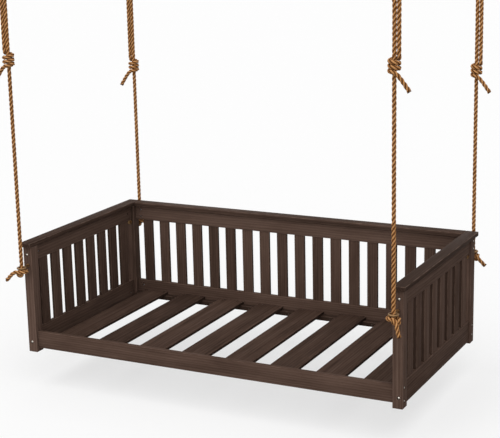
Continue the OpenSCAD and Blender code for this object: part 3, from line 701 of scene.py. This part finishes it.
def cut_recesses(piece, cutters):
    """Drills round recesses, each given as centre, axis, radius and depth."""
    bm = bmesh.new()
    for centre, axis, radius, depth in cutters:
        turn = Vector((0, 0, 1)).rotation_difference(axis).to_matrix().to_4x4()
        bmesh.ops.create_cone(bm, cap_ends=True, segments=DRILL_SEGMENTS, radius1=radius, radius2=radius,
                              depth=2 * depth, matrix=Matrix.Translation(centre) @ turn)
    mesh = bpy.data.meshes.new("drill")
    bm.to_mesh(mesh)
    bm.free()
    drill = new_object("drill", mesh)
    cut = piece.modifiers.new("cut", "BOOLEAN")
    cut.operation = "DIFFERENCE"
    cut.solver = "EXACT"
    cut.object = drill
    graph = bpy.context.evaluated_depsgraph_get()
    made = bpy.data.meshes.new_from_object(piece.evaluated_get(graph))
    piece.modifiers.clear()
    piece.data = made
    bpy.data.objects.remove(drill)


def finish_board(piece, low, high, edge_r, tone_and_shade, side_painted_shade):
    """Writes the attributes that the wood material reads, among them painted shade in recesses and on slat
    sides, and shades the eased edges smooth.
    """
    mesh = piece.data
    size = high - low
    order = sorted(range(3), key=lambda axis: -size[axis])
    pith = Vector((rng.uniform(*PITH_ALONG), rng.uniform(*PITH_ACROSS) * rng.choice((-1, 1)),
                   rng.uniform(*PITH_THROUGH)))
    middle = (low + high) / 2
    grain, edge, tones_and_shades = [], [], []
    for v in mesh.vertices:
        local = v.co - middle
        grain += list(Vector([local[axis] for axis in order]) + pith)
        inside = sorted(min(v.co[a] - low[a], high[a] - v.co[a]) for a in range(3))
        edge.append(max(0.0, 1.0 - inside[1] / (WORN_REACH * edge_r)))
    for face in mesh.polygons:
        depths = [min(face.center[a] - low[a], high[a] - face.center[a]) for a in range(3)]
        in_recess = min(depths) > RECESS_SHADE_FROM
        on_side = depths[order[1]] < SIDE_REACH * edge_r
        # painted shade: darker in a recess and on the slats' sides
        shade = RECESS_PAINTED_SHADE if in_recess else side_painted_shade if on_side else 0.0
        tones_and_shades += [tone_and_shade + shade] * face.loop_total
    mesh.attributes.new("grain", "FLOAT_VECTOR", "POINT").data.foreach_set("vector", grain)
    mesh.attributes.new("edge", "FLOAT", "POINT").data.foreach_set("value", edge)
    mesh.attributes.new("tone_and_shade", "FLOAT", "CORNER").data.foreach_set("value", tones_and_shades)
    mesh.polygons.foreach_set("use_smooth", [True] * len(mesh.polygons))
    mesh.set_sharp_from_angle(angle=SHARP_FROM)
    mesh.update()


RECESS_R = 8 * MM
RECESS_DEPTH = 3 * MM
RECESS_SLACK = 0.2 * MM
SEAT_R = 5.2 * MM                     # of a barrel nut
SEAT_DEPTH = 3.5 * MM
SCREW_HEAD_R = 4.4 * MM


def recesses_of(node, low, high):
    """The holes that show in a board: round the bolt heads, over the barrel nuts, for the screw heads."""
    if node.startswith("post_"):
        kinds = (("face_bolts", 1, RECESS_R, RECESS_DEPTH), ("side_bolts", 0, RECESS_R, RECESS_DEPTH))
    elif node.endswith("_rail"):
        kinds = (("barrel_nuts", 1 if node.startswith(("front", "back")) else 0, SEAT_R, SEAT_DEPTH),)
    elif node.endswith("_ledger"):
        kinds = (("ledger_screws", 1, SCREW_HEAD_R, RECESS_DEPTH),)
    elif node.startswith("bed_slat"):
        kinds = (("slat_screws", 2, SCREW_HEAD_R, RECESS_DEPTH),)
    else:
        kinds = ()
    found = []
    for fastener, axis, radius, depth in kinds:
        others = [a for a in range(3) if a != axis]
        direction = Vector([1 if a == axis else 0 for a in range(3)])
        for a_low, a_high in loose_boxes(fastener):
            centre = (a_low + a_high) / 2
            if not all(low[a] < centre[a] < high[a] for a in others):
                continue
            for face, end in ((low[axis], a_low[axis]), (high[axis], a_high[axis])):
                # a barrel nut shows only in the face towards the bed's middle
                shows = fastener != "barrel_nuts" or abs(face) < abs(low[axis] + high[axis] - face)
                if shows and abs(face - end) < RECESS_DEPTH + RECESS_SLACK:
                    place = centre.copy()
                    place[axis] = face
                    found.append((place, direction, radius, depth))
    return found


def make_boards():
    groups = [
        ("frame_wood", CAP_EDGE, DARK_STAIN, ["left_cap", "right_cap", "back_cap"]),
        ("frame_wood", POST_EDGE, DARK_STAIN, ["post_" + c for c in CORNERS]),
        ("frame_wood", RAIL_EDGE, DARK_STAIN,
         ["left_upper_rail", "left_lower_rail", "right_upper_rail", "right_lower_rail",
          "back_upper_rail", "back_lower_rail", "front_rail", "front_ledger", "back_ledger"]),
        ("slat_wood", SLAT_EDGE, SLAT_STAIN, ["left_slats", "right_slats", "back_slats_group"]),
        ("slat_wood", SLAT_EDGE, SLAT_STAIN, ["bed_slat_%d" % i for i in range(1, 9)]),
    ]
    for slot, edge_r, material, nodes in groups:
        side_painted_shade = SLAT_SIDE_PAINTED_SHADE if slot == "slat_wood" else 0.0
        for node in nodes:
            boxes = loose_boxes(node)
            for i, (low, high) in enumerate(boxes):
                name = "board_" + node if len(boxes) == 1 else "board_%s_%d" % (node, i + 1)
                # drawn for every board, so that a tone of its own leaves the others as they are
                drawn = GROUP_TONES_WITH_PAINTED_SHADE.get(node, 0.0) + rng.uniform(-TONE_SPREAD, TONE_SPREAD)
                tone_and_shade = TONES_WITH_PAINTED_LIGHT.get(node, drawn)
                piece = board(name, low, high, edge_r, tone_and_shade, recesses_of(node, low, high), side_painted_shade)
                piece.data.materials.append(material)
                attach(piece, "bed")
                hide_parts(node)


make_boards()


# ---------- metal pieces and dowels keep their solids ----------
def dress_nodes():
    for node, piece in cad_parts.items():
        if node.startswith("screw_eye"):
            material = GALVANISED
        elif node in ("slat_screws", "ledger_screws"):
            material = OXIDE
        elif node.startswith(("thimble", "barrel_nuts")):
            material = BRIGHT_ZINC
        elif node in ("face_bolts", "side_bolts"):
            material = ZINC
        elif node.startswith("eye_bolt"):
            material = BRONZE
        elif node == "cap_dowels":
            material = RAW_WOOD
        else:
            continue
        piece.data.materials.clear()
        piece.data.materials.append(material)


dress_nodes()


# ---------- floor, world and lamps ----------
FLOOR_Z = -2.23
FLOOR_REACH = 60.0
FLOOR_SHADE = 0.37
FLOOR_GLOW = 0.601                    # brings the lit floor up to the world's white
WHITE = 0.982                         # what the camera, gloss and glass see of the world
WORLD_LIGHT = 0.42
# each soft light: strength, and in degrees its height above the horizon, its turn from straight
# in front to the right, and its softness
LIGHTS = {
    "key": (2.8, 38, 4, 110),
    "back": (0.62, 8, 172, 90),
}


def make_stage():
    """The pale floor. The camera sees it glow, so that it is white with a soft, light shadow."""
    mesh = bpy.data.meshes.new("floor")
    corners = ((-1, -1), (1, -1), (1, 1), (-1, 1))
    mesh.from_pydata([(x * FLOOR_REACH, y * FLOOR_REACH, FLOOR_Z) for x, y in corners], [], [(0, 1, 2, 3)])
    floor = new_object("floor", mesh)
    m = Shader("pale_floor")
    m.set(m.surface, Base_Color=(*(FLOOR_SHADE,) * 3, 1), Roughness=1.0, Specular_IOR_Level=0.0)
    path = m.add("ShaderNodeLightPath")
    glow = m.add("ShaderNodeEmission")
    both = m.add("ShaderNodeAddShader")
    m.join(m.maths("MULTIPLY", path, "Is Camera Ray", FLOOR_GLOW), 0, glow, "Strength")
    m.join(m.surface, "BSDF", both, 0)
    m.join(glow, "Emission", both, 1)
    m.join(both, "Shader", m.output, "Surface")
    mesh.materials.append(m.material)


def make_world():
    """Even light from all round, and white for the camera, gloss and glass."""
    world = bpy.data.worlds.new("world")
    bpy.context.scene.world = world
    world.use_nodes = True
    m = Nodes(world.node_tree)
    output = m.add("ShaderNodeOutputWorld")
    mix = m.add("ShaderNodeMixShader")
    light = m.set(m.add("ShaderNodeBackground"), Color=(1, 1, 1, 1), Strength=WORLD_LIGHT)
    seen = m.set(m.add("ShaderNodeBackground"), Color=(1, 1, 1, 1), Strength=WHITE)
    path = m.add("ShaderNodeLightPath")
    direct = m.maths("MAXIMUM", path, "Is Camera Ray", (path, "Is Glossy Ray"))
    either = m.maths("MAXIMUM", direct, 0, (path, "Is Transmission Ray"))
    m.join(either, 0, mix, 0)
    m.join(light, 0, mix, 1)
    m.join(seen, 0, mix, 2)
    m.join(mix, 0, output, "Surface")


def make_lights():
    for name, (strength, height, turn, softness) in LIGHTS.items():
        data = bpy.data.lights.new(name, "SUN")
        data.energy = strength
        data.angle = math.radians(softness)
        height, turn = math.radians(height), math.radians(turn)
        towards = Vector((math.sin(turn) * math.cos(height),
                          -math.cos(turn) * math.cos(height),
                          math.sin(height)))
        piece = bpy.data.objects.new(name, data)
        piece.rotation_mode = "QUATERNION"
        piece.rotation_quaternion = towards.to_track_quat("Z", "Y")
        bpy.context.scene.collection.objects.link(piece)


make_stage()
make_world()
make_lights()
bpy.context.scene.view_settings.view_transform = "Standard"
